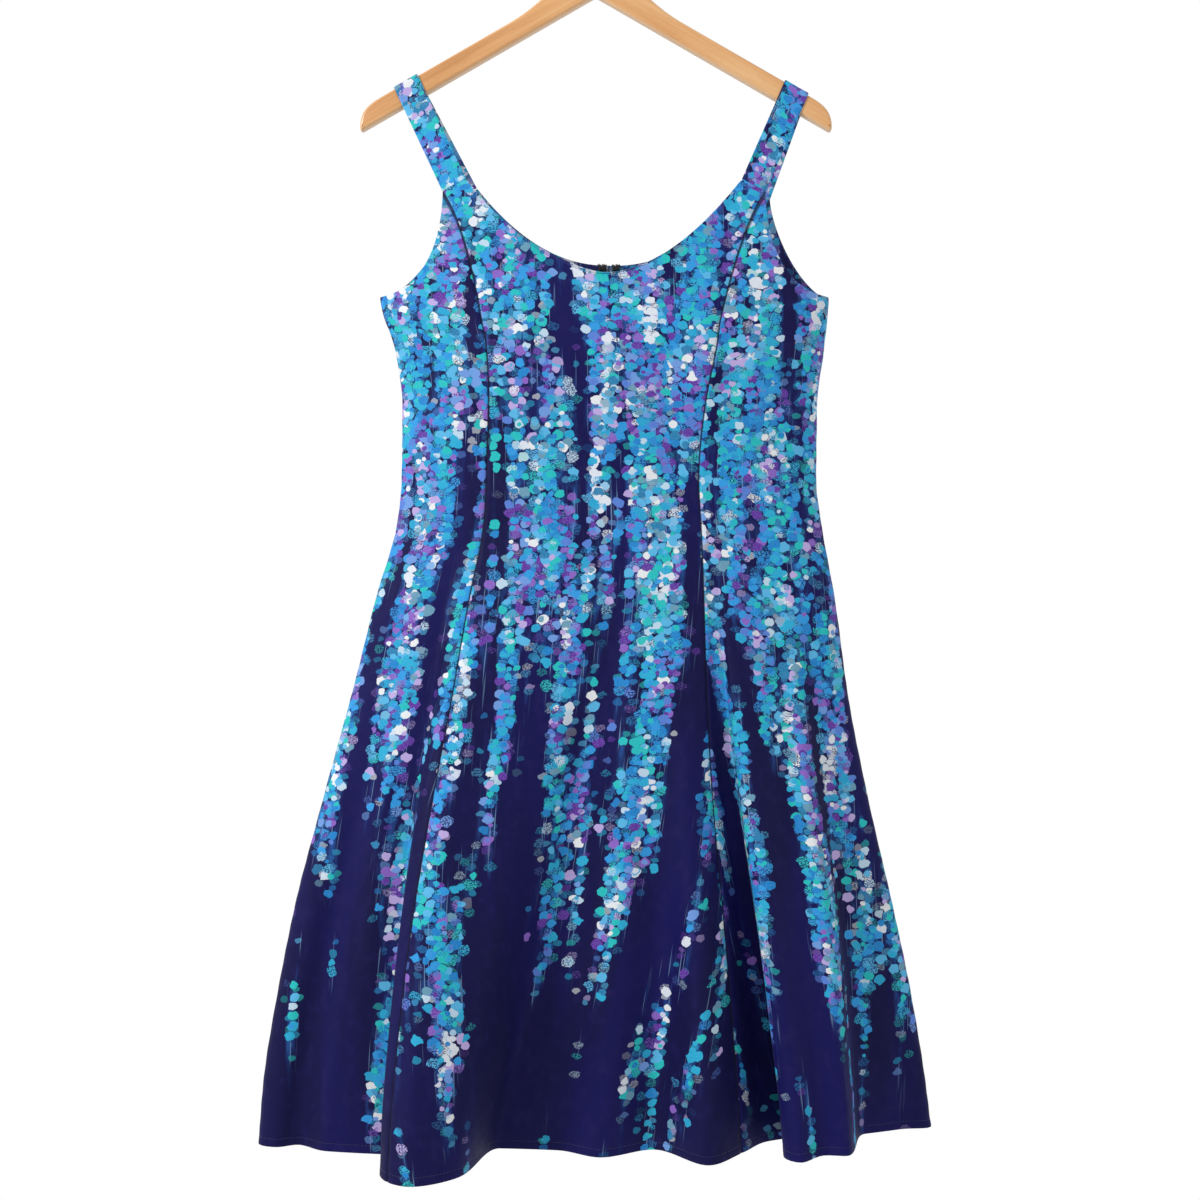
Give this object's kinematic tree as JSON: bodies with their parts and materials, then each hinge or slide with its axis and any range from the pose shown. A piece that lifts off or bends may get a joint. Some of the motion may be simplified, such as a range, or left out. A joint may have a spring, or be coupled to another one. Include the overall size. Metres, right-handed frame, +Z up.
{
  "type": "fit and flare dress on a wooden hanger",
  "caption": "Knee-length fit and flare dress with princess seams, wide straps and a scoop neck, hanging on a flat wooden hanger by its steel hook.",
  "frame": {"origin": "highest point of the hook's inside, where a rail carries the hanger", "axes": "+Z up, front of the dress faces -Y, +X to the viewer's right when the front is seen"},
  "size_m": [0.6393, 0.2317, 1.1986],
  "materials": {
    "printed_cotton": "printed cotton sateen, soft low sheen",
    "varnished_wood": "satin clear varnish",
    "hook_steel": "bright plated wire",
    "black_metal": "black lacquer or thread covering"
  },
  "bodies": {
    "dress_on_hanger": {"front_centre": "printed_cotton", "front_side_left": "printed_cotton", "front_side_right": "printed_cotton", "back_centre_left": "printed_cotton", "back_centre_right": "printed_cotton", "back_side_left": "printed_cotton", "back_side_right": "printed_cotton", "strap_left": "printed_cotton", "strap_right": "printed_cotton", "neck_hook": "black_metal", "neck_eye": "black_metal", "zip_slider": "black_metal", "hanger_arms": "varnished_wood", "hanger_hook": "hook_steel"},
    "pull": {"zip_pull": "black_metal"}
  },
  "joints": [
    {"name": "pull_swing", "type": "hinge", "parent": "dress_on_hanger", "child": "pull", "pos_m": [0.0125, 0.02914, -0.378], "axis": [1, 0, 0], "range_deg": [0, 160]}
  ]
}
